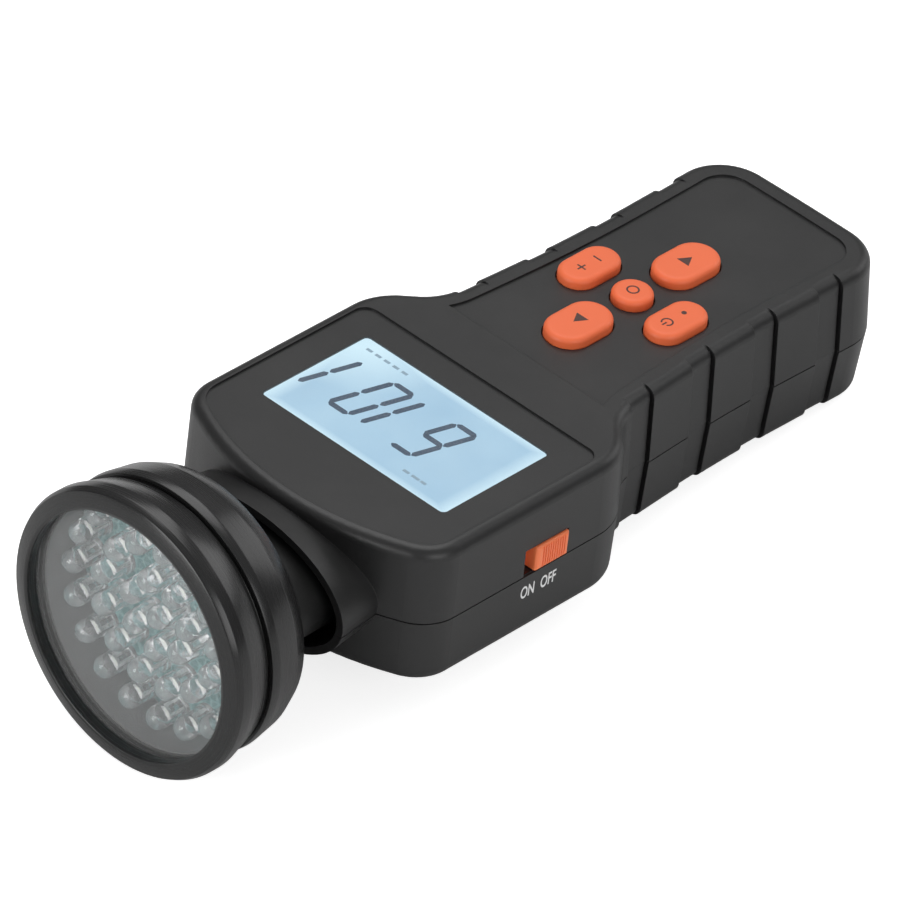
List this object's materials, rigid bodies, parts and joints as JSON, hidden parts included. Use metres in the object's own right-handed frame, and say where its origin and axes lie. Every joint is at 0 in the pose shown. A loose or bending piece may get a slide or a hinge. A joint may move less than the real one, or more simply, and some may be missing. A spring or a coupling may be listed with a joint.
{
  "type": "handheld stroboscope",
  "caption": "Handheld digital stroboscope with a flat display box, waisted keyed handle, side slide switch and a round lamp head filled with clear light-emitting diodes.",
  "frame": {"origin": "on the flat back of the case, under the middle of the display window", "axes": "+X across the case towards the slide switch, +Y along the handle towards its tail, so the lamp points to -Y, +Z out of the display face"},
  "size_m": [0.0701, 0.1943, 0.061],
  "materials": {
    "case_plastic": "black satin moulded plastic with a fine spark-eroded grain",
    "neck_plastic": "black matte moulded plastic",
    "head_black_metal": "turned aluminium, black anodised, semi-gloss",
    "lens_clear": "clear polished acrylic",
    "seal_rubber": "black rubber",
    "lamp_board": "green lacquered circuit board",
    "liner_grey": "satin grey moulded liner",
    "lamp_resin": "clear epoxy domes",
    "wire_jacket": "flexible wire insulation",
    "battery_jacket": "lacquered metal jacket",
    "snap_black": "black moulded snap",
    "window_clear": "clear acrylic, flush with the panel",
    "display_glass": "pale blue lit liquid-crystal glass",
    "light_guide": "frosted light guide",
    "strip_rubber": "striped conductive rubber",
    "holder_white": "white moulded holder",
    "circuit_board": "green lacquered circuit board",
    "screw_steel": "bright zinc-plated steel",
    "switch_black": "black moulded switch parts",
    "key_orange": "orange satin silicone keys and knob",
    "chip_black": "black moulded packages"
  },
  "bodies": {
    "case": {"front_shell": "case_plastic", "back_shell": "case_plastic", "neck": "neck_plastic", "neck_screws": "screw_steel", "head_housing": "head_black_metal", "bezel_ring": "head_black_metal", "lens": "lens_clear", "lens_seal": "seal_rubber", "led_board": "lamp_board", "reflector_wall": "liner_grey", "leds": "lamp_resin", "lamp_leads": "wire_jacket", "battery_leads": "wire_jacket", "battery": "battery_jacket", "battery_snap": "snap_black", "display_window": "window_clear", "lcd_glass": "display_glass", "lcd_backlight": "light_guide", "lcd_connector_strips": "strip_rubber", "lcd_holder": "holder_white", "main_board": "circuit_board", "board_screws": "screw_steel", "case_screws": "screw_steel", "tact_switch_bodies": "switch_black", "switch_body": "screw_steel", "microcontroller": "chip_black", "board_components": "chip_black"},
    "key_up": {"key_up": "key_orange", "plunger_up": "switch_black"},
    "key_down": {"key_down": "key_orange", "plunger_down": "switch_black"},
    "key_fine": {"key_fine": "key_orange", "plunger_fine": "switch_black"},
    "key_power": {"key_power": "key_orange", "plunger_power": "switch_black"},
    "key_memory": {"key_memory": "key_orange", "plunger_memory": "switch_black"},
    "slide_switch": {"switch_knob": "key_orange", "switch_lever": "switch_black"},
    "battery_door": {"battery_door": "case_plastic"}
  },
  "joints": [
    {"name": "press_up", "type": "slide", "parent": "case", "child": "key_up", "axis": [0, 0, -1], "range_m": [0, 0.0006], "stiffness_N_per_m": 1500, "springref_m": -0.0005},
    {"name": "press_down", "type": "slide", "parent": "case", "child": "key_down", "axis": [0, 0, -1], "range_m": [0, 0.0006], "stiffness_N_per_m": 1500, "springref_m": -0.0005},
    {"name": "press_fine", "type": "slide", "parent": "case", "child": "key_fine", "axis": [0, 0, -1], "range_m": [0, 0.0006], "stiffness_N_per_m": 1500, "springref_m": -0.0005},
    {"name": "press_power", "type": "slide", "parent": "case", "child": "key_power", "axis": [0, 0, -1], "range_m": [0, 0.0006], "stiffness_N_per_m": 1500, "springref_m": -0.0005},
    {"name": "press_memory", "type": "slide", "parent": "case", "child": "key_memory", "axis": [0, 0, -1], "range_m": [0, 0.0006], "stiffness_N_per_m": 1500, "springref_m": -0.0005},
    {"name": "switch_slide", "type": "slide", "parent": "case", "child": "slide_switch", "axis": [0, -1, 0], "range_m": [0, 0.002]},
    {"name": "door_slide", "type": "slide", "parent": "case", "child": "battery_door", "axis": [0, 1, 0], "range_m": [0, 0.068]}
  ]
}
